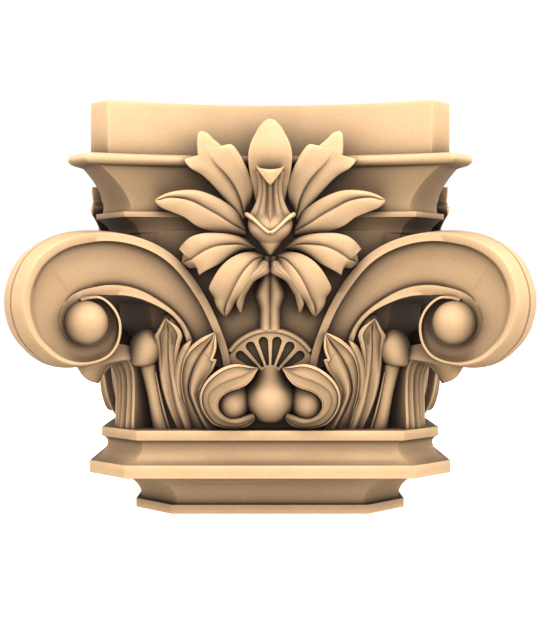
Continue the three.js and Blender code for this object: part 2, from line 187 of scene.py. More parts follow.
MIDDLE_LEAF = drawn(
    ((-13.5, 264.8, 168), (-14, 263.8, 172), (-15.5, 262.8, 168)),
    ((-26, 273.5, 175), (-28.8, 267, 179), (-27, 261.5, 175)),
    ((-40.3, 277.1, 180), (-40.2, 266.8, 183), (-36.5, 256.9, 180)),
    ((-53.7, 277.9, 182), (-51.6, 265.4, 185.5), (-46, 250, 182)),
    ((-67, 277, 183), (-61.1, 262, 186), (-55.5, 244.9, 183)),
    ((-76.7, 273.8, 182), (-68.3, 258, 185), (-63.3, 240.9, 182)),
    ((-83.6, 268.1, 180), (-73.2, 254.7, 184), (-68.4, 237.7, 179)),
    ((-88, 262.9, 177), (-77.2, 252, 182), (-69.4, 243.8, 179)),
    ((-82.3, 262, 178), (-79.7, 251.6, 180), (-73.4, 244.7, 177)),
    ((-84.5, 258.1, 175), (-82.4, 250.7, 177), (-77.3, 244.1, 174)),
    tip=(-85.7, 249.5, 172), corner_left=(7, 8), corner_right=(6, 7), root=152,
)
HANGING_LEAF = drawn(
    ((-5.2, 257.4, 170), (-8.1, 255.3, 176), (-7.7, 244.7, 172)),
    ((-15.8, 259.9, 178), (-14.8, 252.3, 184), (-9, 238.1, 180)),
    ((-26.2, 258.8, 183), (-20.4, 246.9, 189), (-14.3, 234.6, 184)),
    ((-37.2, 253.9, 186), (-26.1, 239.9, 191), (-18.6, 230.3, 186)),
    ((-46.8, 245.6, 186), (-31.3, 231.6, 190.5), (-23.3, 224.5, 186)),
    ((-54.3, 234.6, 184), (-35.7, 223.2, 188), (-28.5, 217.4, 183)),
    ((-58.7, 223.8, 180), (-39, 215.9, 184), (-31.7, 213.4, 179)),
    ((-54.2, 216.3, 177), (-41.5, 210.5, 180), (-34.4, 209.9, 176)),
    ((-52.3, 208, 174), (-43.1, 205.9, 177), (-37.8, 204.2, 174)),
    ((-49.1, 202.5, 171), (-44, 201.7, 173), (-40.8, 199.8, 171)),
    tip=(-44.1, 197, 168), corner_left=(7,), corner_right=(7,), root=152,
)
SPUR_LEAF = drawn(
    ((-8, 252, 178), (-4, 251, 183), (-0.6, 249, 179)),
    ((-13.5, 246.5, 182), (-7, 243.5, 187), (-0.6, 240, 181)),
    ((-18.5, 241, 185), (-13, 238.5, 189), (-7.5, 236, 183)),
    ((-24, 233.8, 186), (-19.5, 231.5, 189), (-15.5, 231, 184)),
    ((-28.5, 225.5, 185), (-24, 224.5, 188), (-19.5, 225, 183)),
    ((-31.5, 216.5, 181), (-27.5, 216, 185), (-23.8, 217.5, 181)),
    ((-32.6, 209.5, 178), (-29.3, 209, 181), (-25.8, 210, 178)),
    ((-30.8, 204.5, 175.5), (-29, 204.3, 177), (-27.4, 204.3, 175.5)),
    tip=(-28.5, 200.4, 173), root=156,
)
PETAL = drawn(
    *even_rows(
        (10.6, 296.4, 168, 295.7, 176), (15.6, 316.9, 174, 316.3, 180), (18.4, 330.2, 178, 329.5, 184),
        (20.3, 341.4, 181, 340.6, 187), (21, 353.1, 183, 352.2, 189), (18.9, 363.4, 183, 362.6, 188.5),
        (14.4, 373.3, 181.5, 372.5, 186), (8.6, 382.8, 180, 382.4, 182.5),
        (4.2, 387.2, 178.5, 386.9, 180),
    ),
    tip=(0, 388.5, 178), root=160,
)
CALYX = drawn(
    *even_rows(
        (8, 279, 184, 276, 193), (17, 287, 182, 285, 192), (21.2, 293.5, 180, 292, 189.5),
        (18.8, 297.5, 180, 297, 188), (15.6, 303.4, 180, 303.4, 187), (12.8, 311, 181, 311, 187.5),
        (11.3, 320.7, 182, 320.7, 189.5), (12.2, 330, 185, 329, 193), (13.4, 336.5, 188, 333.5, 195),
    ),
    tip=(0, 338, 186), root=160,
)

# ---- leaves round the bell, left half of a face
TALL_LEAF = drawn(
    ((-92.4, 86.2, 150), (-86.5, 86.9, 156), (-77.3, 86.7, 154)),
    ((-98.6, 101.4, 153), (-92.1, 102.9, 159), (-82.5, 104.7, 157)),
    ((-103.5, 115.3, 155), (-95.4, 116.8, 161), (-86.7, 117.6, 159)),
    ((-107.1, 130.3, 157), (-97.4, 131.6, 163), (-90, 132.5, 161)),
    ((-108.9, 147.1, 160), (-99.3, 147.4, 166), (-91.4, 147.3, 163)),
    ((-110.1, 161, 163), (-100, 161.2, 169), (-89.6, 160.6, 166)),
    ((-111.6, 171.4, 167), (-99.7, 171.5, 172), (-87.2, 171.4, 169)),
    ((-112.2, 178.9, 171), (-99.2, 179.8, 175), (-85.2, 179, 172)),
    ((-108.3, 184.8, 175), (-99, 186.6, 178), (-88.3, 186.6, 175.5)),
    ((-104.1, 191.2, 179), (-99.6, 191.9, 180), (-95.2, 191.9, 179)),
    tip=(-100.7, 196, 181.5), corner_right=(6,), root=134,
)
# the rolled back of the tall leaf's tip
HOOD = drawn(
    ((-108, 160, 150), (-96, 160, 160), (-84, 160, 150)),
    ((-110.5, 176, 154), (-96, 175, 168), (-81.4, 174, 154)),
    ((-110, 187, 156), (-96.5, 186, 171), (-81.6, 184, 156)),
    ((-107.5, 194.5, 158), (-97, 193.5, 170), (-84.5, 192.5, 158)),
    ((-104.5, 198.8, 160), (-98, 198.2, 166), (-90.5, 197.6, 160)),
    tip=(-99, 201.4, 160), root=134,
)
SMALL_LEAF = drawn(
    ((-93.4, 115.4, 156), (-89.6, 115.8, 160), (-86.3, 115.6, 158)),
    ((-95.1, 135.3, 159), (-91.2, 135.6, 164), (-87.5, 135.5, 162)),
    ((-92.8, 151.2, 163), (-88.9, 151, 168), (-86.2, 149.4, 166)),
    ((-88.5, 163.1, 167), (-84.9, 162.3, 171.5), (-82, 160.7, 169)),
    ((-84.4, 169.7, 170), (-80.3, 169.3, 173), (-78.2, 167.8, 171)),
    tip=(-75.8, 175.3, 173), root=134,
)
BROAD_LEAF = drawn(
    ((-77.4, 85.7, 150), (-65.3, 86.5, 157), (-53.1, 86.2, 154)),
    ((-83.8, 105.8, 155), (-74.8, 108, 161), (-63.6, 105, 160)),
    ((-87.9, 125.5, 159), (-80, 124.9, 164), (-68.6, 122.9, 164)),
    ((-88.5, 143.4, 163), (-77.5, 140.2, 168), (-63.1, 134.9, 168)),
    ((-84.5, 158.7, 168), (-71.6, 154.5, 172), (-55.1, 146.3, 172)),
    ((-79, 166.6, 171), (-67.6, 160.9, 174.5), (-51.6, 155.8, 174)),
    ((-73, 172.4, 173.5), (-64.1, 165.8, 176), (-56.5, 153.9, 174.5)),
    ((-65.6, 177.5, 176), (-59.6, 171.7, 178), (-52, 166.3, 176)),
    ((-59.2, 180.3, 177), (-56, 177, 178.5), (-51.8, 174.1, 177)),
    tip=(-53.3, 182.7, 178), corner_right=(5, 6), root=134,
)
HOOK_LEAF = drawn(
    ((-15, 96.6, 166), (-14.6, 99.7, 171), (-16.7, 103.4, 166)),
    ((-20.9, 90.9, 166), (-21.7, 97.1, 174), (-23.7, 101.3, 168)),
    ((-30.1, 88.1, 165), (-30.3, 94.3, 175), (-31, 98.8, 170)),
    ((-42.8, 88.1, 165), (-40.5, 95.4, 176), (-39.2, 98.7, 171)),
    ((-54.5, 91.7, 166), (-49.6, 99.8, 177.5), (-46.6, 103.2, 172)),
    ((-62.7, 100.4, 169), (-55.9, 106.7, 179), (-49.9, 109.2, 174)),
    ((-67.5, 110.6, 172), (-59.2, 114.8, 180.5), (-49.7, 115.1, 175.5)),
    ((-68.2, 121.8, 174.5), (-58.5, 122.6, 182), (-45.6, 121, 177)),
    ((-63.9, 132.7, 177), (-52.1, 130, 183.5), (-38.8, 125.3, 178.5)),
    ((-54.5, 142.9, 180), (-42, 135.7, 185), (-30.2, 128.2, 180.5)),
    ((-43.7, 149.5, 181.5), (-32, 139.3, 185.5), (-22.5, 132.1, 181.5)),
    ((-32.2, 152.1, 181.5), (-22.9, 142.7, 184.5), (-16.9, 138, 181.5)),
    ((-21.4, 150.3, 180), (-16.4, 145.7, 182), (-13.6, 143.6, 180)),
    tip=(-11.2, 147.8, 178), root=136,
)
# the fluted trunk at a corner, in the corner's own upright plane: along is across the corner
CORNER_TRUNK = drawn(
    *even_rows(
        (15.5, 84, 205, 84, 209), (15.5, 100, 204.6, 100, 207.4), (15.5, 118, 204, 118, 206),
        (15.8, 132, 204.4, 132, 206), (17.2, 144, 206.5, 144, 208.5), (19, 152, 211, 152, 214),
        (20, 158, 217, 158, 221),
    ),
    tip=(0, 163, 224), root=150,
)
# The claw that this trunk sends out under the scroll, as stations of (out, up) on its outer side,
# (across, out, up) at its edge and (out, up) on its inner side.
CORNER_CLAW = (
    (250, 176, 17, 206, 168, 194, 166),
    (262, 162, 20.5, 208, 159, 198, 157),
    (261, 153, 20.5, 213, 155.8, 206, 154),
    (257.5, 145.5, 15.4, 222, 155.2, 216, 152.5),
    (253.5, 139.8, 10.8, 227.5, 152.4, 223.5, 149.5),
    (248.4, 136, 7.2, 231, 147.6, 228.5, 145.4),
    (242.6, 133.8, 4.2, 234, 142, 232.4, 140),
)
CLAW_TIP = (0, 132.4, 236.5)

# Cross sections: heights at shares of the way from the fold to the edge. A border, in millimetres, is a
# flat lip along an edge, and the rest is spread over what is left.
def carving(shares, left, fold, right=None, right_shares=None, **borders):
    """A cross section, its right side like the left one unless it is given."""
    other = zip(right_shares or shares, right or left)
    return dict(left=list(zip(shares, left)), fold=fold, right=list(other), **borders)


FOLD_LEFT = (.03, .08, .16, .27, .4, .55, .7, .84, .94, 1)
FOLD_RIGHT = (.02, .05, .12, .3, .48, .66, .82, .94, 1)
DISH = (.05, .15, .4, .7, .92, 1)
GROOVE = (.04, .12, .3, .55, .8, 1)
FOLDED = carving(
    FOLD_LEFT, (-2.4, -1.9, -1.1, -.2, .6, 1.2, 1.4, 1.1, .6, 0), -2.5,
    (-.9, .1, .8, 1.3, 1.5, 1.5, 1.1, .6, 0), FOLD_RIGHT,
)
FADED = carving(
    FOLD_LEFT, (0, .1, .2, .4, .6, .7, .8, .7, .4, 0), 0, (0, .1, .2, .4, .6, .7, .6, .3, 0), FOLD_RIGHT,
)
SOFT = carving((.1, .25, .45, .65, .82, .94, 1), (.1, .6, 1.2, 1.3, .9, .4, 0), 0)
RIBBED = carving(
    (.06, .12, .2, .32, .45, .56, .64, .7, .8, .9, 1), (1, -1.2, -2, -.4, .8, .8, -.4, .2, 1, .8, 0), 1.6,
)
DISHED = carving(DISH, (-6.6, -5.8, -5.4, -5.4, -4.6, -3.4), -7.2, border_left=4.6, border_right=4.6)
TALL_FOOT = carving(
    DISH, (-4.6, -4.2, -3, -.8, .6, .9), -4.6, (-3.6, -1.4, 1.2, 1.6, 1, .6),
    border_left=1.6, border_right=1.2,
)
GROOVED = carving(
    GROOVE, (-7, -5.8, -4.6, -3.8, -3.6, -2.8), -7.4, (-4.6, -1.6, 1.6, 2.4, 1.4, .2),
    border_left=2.8, border_right=1.6,
)
GROOVED_HEAD = carving(
    GROOVE, (-6.2, -5.6, -4.8, -4.4, -4.2, -3.4), -6.6, (-5.6, -4.2, -2.8, -2.4, -2.6, -2.4),
    border_left=3.8, border_right=2.8,
)
HOOKED = carving(
    (.04, .1, .3, .6, .85, 1), (-.6, -2, -3, -3, -2.4, -2), .3, (-.6, -1.6, -1.8, -1.6, -1, -.6),
    border_left=3.2, border_right=1.4,
)
FLUTED = carving(
    (.05, .14, .26, .4, .52, .62, .72, .86, 1), (.6, -1.4, -.9, .9, .4, -1.3, -.6, .8, 0), 1.8,
)
# A border takes at most this share of its side, and starts to rise this many of its widths from the edge.
WIDEST_BORDER = 0.42
BORDER_FOOT = 1.18
# its own section: (border widths in from the edge, height)
BORDER = ((1, 0.0), (0.5, 0.15), (0.08, -0.1), (0, -0.7))
# A leaf's carving turns into its head's carving between these shares of its length.
HEAD_FROM, HEAD_TO = 0.35, 0.75
# The relief grows shallower where a side of the leaf is narrower than this.
SHALLOW_UNDER = 9
# From the edge to the keel: shares of the way to the fold, and of the way to the back.
UNDERCUT = 0.04
KEEL_SIDE, KEEL_DEPTH = 0.35, 0.45
LEAST_DEPTH = 5


# ---- lines and closed bodies
def ramp(value, start, stop):
    """0 up to start and 1 past stop, with an even rise between them."""
    return min(1.0, max(0.0, (value - start) / (stop - start)))


def value_at(table, place):
    """A table's value at a place, on a smooth line through its entries."""
    xs = [x for x, _ in table]
    ys = [y for _, y in table]
    if place <= xs[0]:
        return ys[0]
    if place >= xs[-1]:
        return ys[-1]
    i = next(k for k in range(len(xs) - 1) if place <= xs[k + 1])
    slope = [(ys[k + 1] - ys[k]) / (xs[k + 1] - xs[k]) for k in range(len(xs) - 1)]

    def tangent(k):
        if k == 0 or k == len(xs) - 1:
            return slope[0 if k == 0 else -1]
        a, b = slope[k - 1], slope[k]
        return 0.0 if a * b <= 0 else 2 * a * b / (a + b)

    h = xs[i + 1] - xs[i]
    t = (place - xs[i]) / h
    return (
        (2 * t**3 - 3 * t**2 + 1) * ys[i] + (t**3 - 2 * t**2 + t) * h * tangent(i)
        + (3 * t**2 - 2 * t**3) * ys[i + 1] + (t**3 - t**2) * h * tangent(i + 1)
    )


def eased_line(points, counts, corners=()):
    """Points of a smooth line through points, counts[i] steps on each stretch, free to turn at corners."""
    p = np.asarray(points, float)
    step = np.diff(p, axis=0)
    length = np.maximum(np.linalg.norm(step, axis=1), 1e-6)
    heading = step / length[:, None]
    arrive, leave = np.empty_like(p), np.empty_like(p)
    last = len(p) - 1
    for i in range(len(p)):
        if i in (0, last):
            arrive[i] = leave[i] = heading[0 if i == 0 else -1]
        elif i in corners:
            arrive[i], leave[i] = heading[i - 1], heading[i]
        else:
            near = heading[i - 1] * length[i] + heading[i] * length[i - 1]
            arrive[i] = leave[i] = near / (length[i] + length[i - 1])
    out = []
    for i in range(last):
        t = (np.arange(counts[i]) / counts[i])[:, None]
        out.append(
            (2 * t**3 - 3 * t**2 + 1) * p[i] + (t**3 - 2 * t**2 + t) * leave[i] * length[i]
            + (3 * t**2 - 2 * t**3) * p[i + 1] + (t**3 - t**2) * arrive[i + 1] * length[i]
        )
    out.append(p[-1:])
    return np.concatenate(out)


def smooth_stations(stations, step):
    """Stations on a smooth line through the given ones, about step apart."""
    s = np.asarray(stations, float)
    gaps = np.linalg.norm(np.diff(s[:, :3], axis=0), axis=1)
    spread = np.linalg.norm(np.diff(s, axis=0), axis=1)
    return eased_line(s, [max(1, round(max(g, w * 0.7) / step)) for g, w in zip(gaps, spread)])


def on_face(points):
    """Places given as (along, up, out) on the front face."""
    p = np.asarray(points, float)
    return np.stack([p[..., 0], -p[..., 2], p[..., 1]], axis=-1)


def on_corner(points):
    """Places given as (across, up, out) on the front left corner."""
    p = np.asarray(points, float)
    k = math.sqrt(0.5)
    return np.stack([(p[..., 0] - p[..., 2]) * k, (-p[..., 0] - p[..., 2]) * k, p[..., 1]], axis=-1)


def skin(rings, tip=None, foot=None):
    """Closed body over rings of equal counts: (points, faces), faces outwards."""
    rings = np.asarray(rings, float)
    n, m, _ = rings.shape
    points = list(rings.reshape(-1, 3))
    faces = []
    for r in range(n - 1):
        a, b = r * m, (r + 1) * m
        for i in range(m):
            j = (i + 1) % m
            faces.append((a + i, a + j, b + j, b + i))
    for start, apex, turned in ((0, foot, True), ((n - 1) * m, tip, False)):
        points.append(np.asarray(apex, float) if apex is not None else rings[start // m].mean(axis=0))
        c = len(points) - 1
        for i in range(m):
            j = (i + 1) % m
            faces.append((c, start + j, start + i) if turned else (c, start + i, start + j))
    points = np.array(points)
    corners = np.array([(f[0], f[k], f[k + 1]) for f in faces for k in range(1, len(f) - 1)])
    a, b, c = (points[corners[:, k]] for k in range(3))
    if np.einsum("ij,ij->i", a, np.cross(b, c)).sum() < 0:
        faces = [f[::-1] for f in faces]
    return points, faces


def mirrored(body):
    """The same body on the other half of the face."""
    points, faces = body
    return points * np.array([-1.0, 1.0, 1.0]), [f[::-1] for f in faces]


def across_corner(body):
    """The same body on the neighbouring face of the front left corner."""
    points, faces = body
    return points[:, [1, 0, 2]], [f[::-1] for f in faces]


def section(profile, left_width, right_width):
    """Columns of a leaf's cross section, from its left edge to its right: signed shares and heights."""
    shares, heights = [0.0], [profile["fold"]]
    for side, width, sign in (("right", right_width, 1), ("left", left_width, -1)):
        border = min(profile.get("border_" + side, 0.0), WIDEST_BORDER * width) / max(width, 1e-6)
        inner = 1 - border * BORDER_FOOT
        more = [(g * inner, h) for g, h in profile[side]]
        if "border_" + side in profile:
            more += [(1 - border * inwards, h) for inwards, h in BORDER]
        for g, h in more:
            if sign > 0:
                shares.append(g)
                heights.append(h)
            else:
                shares.insert(0, -g)
                heights.insert(0, h)
    return np.array(shares), np.array(heights)


def inward(edge, fold, share, out):
    """The place a share of the way from an edge to the fold, at its own distance out."""
    return [*(edge + (fold - edge) * share)[:2], out]


def leaf(spec, profile, head=None, place=on_face, step=2.4, relief=1.0, edge=2.4):
    """Body of one leaf: a carved front over a back that narrows to a keel rooted in the block."""
    rows = [*spec["rows"], (spec["tip"],) * 3]
    table = np.asarray(rows, float)
    reach = np.linalg.norm(np.diff(table, axis=0), axis=2).mean(axis=1)
    counts = [max(2, round(r / step)) for r in reach]
    left = eased_line(table[:, 0], counts, spec.get("corner_left", ()))
    fold = eased_line(table[:, 1], counts)
    right = eased_line(table[:, 2], counts, spec.get("corner_right", ()))
    rings = []
    total = len(fold) - 1
    for i in range(total):
        lo, mid, hi = left[i], fold[i], right[i]
        wide_l, wide_r = np.linalg.norm(lo - mid), np.linalg.norm(hi - mid)
        shares, heights = section(profile, wide_l, wide_r)
        if head is not None:
            blend = ramp(i / total, HEAD_FROM, HEAD_TO)
            other_shares, other = section(head, wide_l, wide_r)
            shares = shares + (other_shares - shares) * blend
            heights = heights + (other - heights) * blend
        strength = [min(1.0, wide / SHALLOW_UNDER) for wide in (wide_l, wide_r)]
        ends = np.where(shares[:, None] < 0, lo, hi)
        front = mid + (ends - mid) * np.abs(shares)[:, None]
        front[:, 2] += heights * relief * np.where(shares < 0, *strength)
        thin = min(edge, 0.25 * (wide_l + wide_r) + 0.3)
        back = spec["root"] if "root" in spec else mid[2] - spec["thick"]
        back = min(back, mid[2] - LEAST_DEPTH)
        rings.append([
            *front,
            inward(hi, mid, UNDERCUT, hi[2] - thin),
            inward(hi, mid, KEEL_SIDE, hi[2] + (back - hi[2]) * KEEL_DEPTH),
            [mid[0], mid[1], back],
            inward(lo, mid, KEEL_SIDE, lo[2] + (back - lo[2]) * KEEL_DEPTH),
            inward(lo, mid, UNDERCUT, lo[2] - thin),
        ])
    tip = np.array(spec["tip"], float)
    tip[2] -= 1.0
    return skin(place(rings), tip=place(tip))


def turned(stations, sides=28, step=2.0, tip=None, foot=None):
    """Rounded body up a line of stations (along, up, out, half width, half depth)."""
    line = smooth_stations(stations, step)
    a = 2 * np.pi * np.arange(sides) / sides
    rings = [
        np.stack([s[0] + s[3] * np.cos(a), np.full(sides, s[1]), s[2] + s[4] * np.sin(a)], axis=-1)
        for s in line
    ]
    ends = [None if end is None else on_face(end) for end in (tip, foot)]
    return skin(on_face(rings), *ends)


def ball(centre, radius, sides=36):
    """Sphere, its poles up and down."""
    stations = []
    n = sides // 2
    ring = np.arange(sides) * 2 * np.pi / sides
    for i in range(1, n):
        a = math.pi * i / n
        r, up = radius * math.sin(a), -radius * math.cos(a)
        stations.append(np.stack(
            [centre[0] + r * np.cos(ring), np.full(sides, centre[1] + up), centre[2] + r * np.sin(ring)],
            axis=-1,
        ))
    low, high = list(centre), list(centre)
    low[1] -= radius
    high[1] += radius
    return skin(on_face(stations), tip=on_face(high), foot=on_face(low))


def rod(path, radii, sides=12, step=2.0):
    """Rounded rod along a path of (along, up, out), with (half width, half height) at each point."""
    line = smooth_stations([[*p, *r] for p, r in zip(path, radii)], step)
    rings = []
    a = 2 * np.pi * np.arange(sides) / sides
    for i, s in enumerate(line):
        ahead, behind = line[min(i + 1, len(line) - 1)][:3], line[max(i - 1, 0)][:3]
        along = (ahead - behind) / np.linalg.norm(ahead - behind)
        side = np.cross(along, (0.0, 0.0, 1.0))
        side /= np.linalg.norm(side)
        lift = np.cross(side, along)
        rings.append(s[:3] + np.outer(s[3] * np.cos(a), side) + np.outer(s[4] * np.sin(a), lift))
    return skin(on_face(rings))


# ---- meshes
def in_scene(name, data):
    """A new object in the scene, for a mesh, a camera or a light."""
    obj = bpy.data.objects.new(name, data)
    bpy.context.scene.collection.objects.link(obj)
    return obj


def mesh_of(name, body):
    """Mesh data of a body, from millimetres to metres."""
    points, faces = body
    mesh = bpy.data.meshes.new(name)
    mesh.from_pydata((np.asarray(points) * MM).tolist(), [], [list(f) for f in faces])
    mesh.update()
    return mesh


def worked_out(obj):
    """The plain mesh that an object's modifiers make; the object is removed."""
    depsgraph = bpy.context.evaluated_depsgraph_get()
    mesh = bpy.data.meshes.new_from_object(obj.evaluated_get(depsgraph))
    name = obj.name
    bpy.data.objects.remove(obj)
    if not mesh.polygons:
        raise RuntimeError(name + ": its modifiers made nothing")
    return mesh


def united(name, bodies, less=()):
    """One closed mesh of all the bodies, with the bodies in less cut away."""
    base = in_scene(name, mesh_of(name, bodies[0]))
    groups = []
    for label, solids, operation in (("join", bodies[1:], "UNION"), ("cut", less, "DIFFERENCE")):
        if not len(solids):
            continue
        group = bpy.data.collections.new(name + "_" + label)
        bpy.context.scene.collection.children.link(group)
        for solid in solids:
            mesh = solid if isinstance(solid, bpy.types.Mesh) else mesh_of(name, solid)
            group.objects.link(bpy.data.objects.new(name, mesh))
        modifier = base.modifiers.new(label, "BOOLEAN")
        modifier.operation = operation
        modifier.solver = "MANIFOLD"
        modifier.operand_type = "COLLECTION"
        modifier.collection = group
        groups.append(group)
    mesh = worked_out(base)
    for group in groups:
        for member in list(group.objects):
            bpy.data.objects.remove(member)
        bpy.data.collections.remove(group)
    return mesh


def node(tree, kind, inputs=None, **settings):
    """Adds a node with its settings; an input, by name or number, gets a value, a socket or a node."""
    made = tree.nodes.new(kind)
    for key, value in settings.items():
        setattr(made, key, value)
    for key, value in (inputs or {}).items():
        if isinstance(value, bpy.types.Node):
            value = value.outputs[0]
        if isinstance(value, bpy.types.NodeSocket):
            tree.links.new(value, made.inputs[key])
        else:
            made.inputs[key].default_value = value
    return made


def turned_copies_tree():
    """Geometry Nodes: a mesh's copies turned round an axis at a pivot, united and given a material."""
    tree = bpy.data.node_groups.new("Turned copies", "GeometryNodeTree")
    for label, kind in (
        ("Geometry", "Geometry"), ("Count", "Int"), ("First Angle", "Float"), ("Step Angle", "Float"),
        ("Axis", "Vector"), ("Pivot", "Vector"), ("Material", "Material"),
    ):
        tree.interface.new_socket(label, in_out="INPUT", socket_type="NodeSocket" + kind)
    tree.interface.new_socket("Geometry", in_out="OUTPUT", socket_type="NodeSocketGeometry")
    given = tree.nodes.new("NodeGroupInput").outputs
    back = node(tree, "ShaderNodeVectorMath", {0: given["Pivot"], "Scale": -1.0}, operation="SCALE")
    shape = node(tree, "GeometryNodeTransform", {"Geometry": given["Geometry"], "Translation": back})
    points = node(tree, "GeometryNodePoints", {"Count": given["Count"], "Position": given["Pivot"]})
    index = node(tree, "GeometryNodeInputIndex")
    angle = node(
        tree, "ShaderNodeMath", {0: index, 1: given["Step Angle"], 2: given["First Angle"]},
        operation="MULTIPLY_ADD",
    )
    turn = node(tree, "FunctionNodeAxisAngleToRotation", {"Axis": given["Axis"], "Angle": angle})
    copies = node(
        tree, "GeometryNodeInstanceOnPoints", {"Points": points, "Instance": shape, "Rotation": turn},
    )
    one = node(
        tree, "GeometryNodeMeshBoolean", {"Mesh 2": copies}, operation="UNION", solver="MANIFOLD",
    )
    real = node(tree, "GeometryNodeRealizeInstances", {"Geometry": one})
    painted = node(tree, "GeometryNodeSetMaterial", {"Geometry": real, "Material": given["Material"]})
    node(tree, "NodeGroupOutput", {0: painted})
    return tree


def turned_copies(name, mesh, count, first=0.0, step=0.0, axis=(0, 0, 1), pivot=(0, 0, 0), material=None):
    """Mesh of count united copies, each turned on by step radians round axis at the pivot, in metres."""
    tree = bpy.data.node_groups.get("Turned copies") or turned_copies_tree()
    carrier = in_scene(name, mesh)
    modifier = carrier.modifiers.new("copies", "NODES")
    modifier.node_group = tree
    values = {
        "Count": count, "First Angle": first, "Step Angle": step, "Axis": axis, "Pivot": pivot,
        "Material": material,
    }
    for item in tree.interface.items_tree:
        if item.in_out == "INPUT" and item.name in values:
            modifier[item.identifier] = values[item.name]
    return worked_out(carrier)


def finished_piece(name, mesh, material, sharp=40.0):
    """A piece that stands for the CAD capital: smooth except at its sharp edges, in stone."""
    mesh.materials.clear()
    mesh.materials.append(material)
    mesh.shade_smooth()
    mesh.set_sharp_from_angle(angle=math.radians(sharp))
    mesh.name = name
    piece = in_scene(name, mesh)
    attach(piece, BODY)
    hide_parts(NODE)


def on_four_sides(name, bodies, material):
    """One side's bodies united, copied round the capital and finished as one piece."""
    one = united(name + "_side", bodies)
    mesh = turned_copies(name, one, 4, step=math.pi / 2, material=material)
    finished_piece(name, mesh, material)


# ---- stone
def linear(code):
    """sRGB hex to linear colour."""
    parts = [int(code[i:i + 2], 16) / 255 for i in (1, 3, 5)]
    return (*[c / 12.92 if c <= 0.04045 else ((c + 0.055) / 1.055) ** 2.4 for c in parts], 1.0)


BLOTCH = 40 * MM
# The noise's own scale against the size of the grains that it draws.
NOISE_OVER_GRAIN = 1.6
# A crease's painted shade reaches this share of the painted shade's whole reach.
CREASE_REACH = 0.08


def stone_material(look):
    """Fine-grained buff limestone, carved and rubbed smooth: matt and slightly mottled, with painted shade
    that darkens its folds and recesses and a painted highlight on its edges.
    """
    existing = bpy.data.materials.get("buff_limestone")
    if existing:
        return existing
    material = bpy.data.materials.new("buff_limestone")
    material.use_nodes = True
    tree = material.node_tree
    tree.nodes.clear()
    place = node(tree, "ShaderNodeTexCoord").outputs["Object"]
    # faint beds and blotches, and sand grains drawn larger than they are so that they show
    mottle = node(
        tree, "ShaderNodeTexNoise", {"Vector": place, "Scale": 1 / BLOTCH, "Detail": 3.0, "Roughness": 0.6},
    )
    grain = node(
        tree, "ShaderNodeTexNoise",
        {"Vector": place, "Scale": 1 / (look.grain * NOISE_OVER_GRAIN), "Detail": 2.0, "Roughness": 0.7},
    )
    tone = node(
        tree, "ShaderNodeMapRange",
        {"Value": mottle, "From Min": 0.35, "From Max": 0.65, "To Min": 0.0, "To Max": 1.0},
    )
    body = node(
        tree, "ShaderNodeMix", {"Factor": tone, 6: linear(look.light_bed), 7: linear(look.dark_bed)},
        data_type="RGBA",
    )
    speck = node(
        tree, "ShaderNodeMapRange",
        {"Value": grain, "From Min": 0.3, "From Max": 0.7, "To Min": 0.93, "To Max": 1.05},
    )
    grained = node(
        tree, "ShaderNodeVectorMath", {0: body.outputs[2], "Scale": speck}, operation="SCALE",
    )
    # painted shade in the recesses: the colour darkened where the stone is less open, dark in the deep ones
    # and a thin dark line in the folds
    wide = node(tree, "ShaderNodeAmbientOcclusion", {"Distance": look.painted_shade_reach}, samples=16)
    openness = node(
        tree, "ShaderNodeMath", {0: wide.outputs["AO"], 1: look.painted_shade_spread}, operation="POWER",
    )
    near = node(
        tree, "ShaderNodeAmbientOcclusion", {"Distance": look.painted_shade_reach * CREASE_REACH}, samples=8,
    )
    crease = node(
        tree, "ShaderNodeMapRange",
        {"Value": near.outputs["AO"], "From Min": 0.1, "From Max": 0.8, "To Min": 0.55, "To Max": 1.0},
    )
    # painted highlight: edges made lighter in colour where light would catch them
    inside = node(
        tree, "ShaderNodeAmbientOcclusion", {"Distance": look.painted_highlight_width}, samples=8, inside=True,
    )
    painted_edge_light = node(
        tree, "ShaderNodeMapRange",
        {"Value": inside.outputs["AO"], "From Min": 0.3, "From Max": 1.0, "To Min": 1.35, "To Max": 1.0},
    )
    # painted shade and painted highlight: the colour goes to the dark shade colour where the stone is less
    # open or folded, and lighter on its edges
    unshaded_share = node(tree, "ShaderNodeMath", {0: openness, 1: crease}, operation="MULTIPLY")
    unshaded_share = node(tree, "ShaderNodeMath", {0: unshaded_share, 1: painted_edge_light}, operation="MULTIPLY")
    painted_shade_mix = node(
        tree, "ShaderNodeMix", {"Factor": unshaded_share, 6: linear(look.painted_shade_colour), 7: grained},
        data_type="RGBA", clamp_factor=False,
    )
    bump = node(tree, "ShaderNodeBump", {"Height": grain, "Strength": 0.12, "Distance": 0.2 * MM})
    shader = node(
        tree, "ShaderNodeBsdfPrincipled",
        {"Base Color": painted_shade_mix.outputs[2], "Normal": bump, "Roughness": 0.82, "IOR": 1.5,
         "Specular IOR Level": 0.25},
    )
    node(tree, "ShaderNodeOutputMaterial", {"Surface": shader}, target="ALL")
    return material


# ---- mouldings: levels of a square with cut corners and hollowed sides
def outline(up, half, chamfer, sag, pieces):
    """One level's outline, its sides hollowed by sag at their middles."""
    ring = []
    end = half - chamfer
    for side in range(4):
        c, s = round(math.cos(side * math.pi / 2)), round(math.sin(side * math.pi / 2))
        for i in range(pieces + 1):
            x = -end + 2 * end * i / pieces
            y = -(half - sag * (1 - (x / end) ** 2))
            ring.append((x * c - y * s, x * s + y * c, up))
    return ring


def flare(low, high, power, count):
    """Levels (up, half, chamfer, sag) of a curve that starts upright at low and flares to high."""
    low, high = np.array(low, float), np.array(high, float)
    levels = []
    for i in range(count + 1):
        t = i / count
        level = low + (high - low) * t
        level[1] = low[1] + (high[1] - low[1]) * t ** power
        levels.append(tuple(level))
    return levels


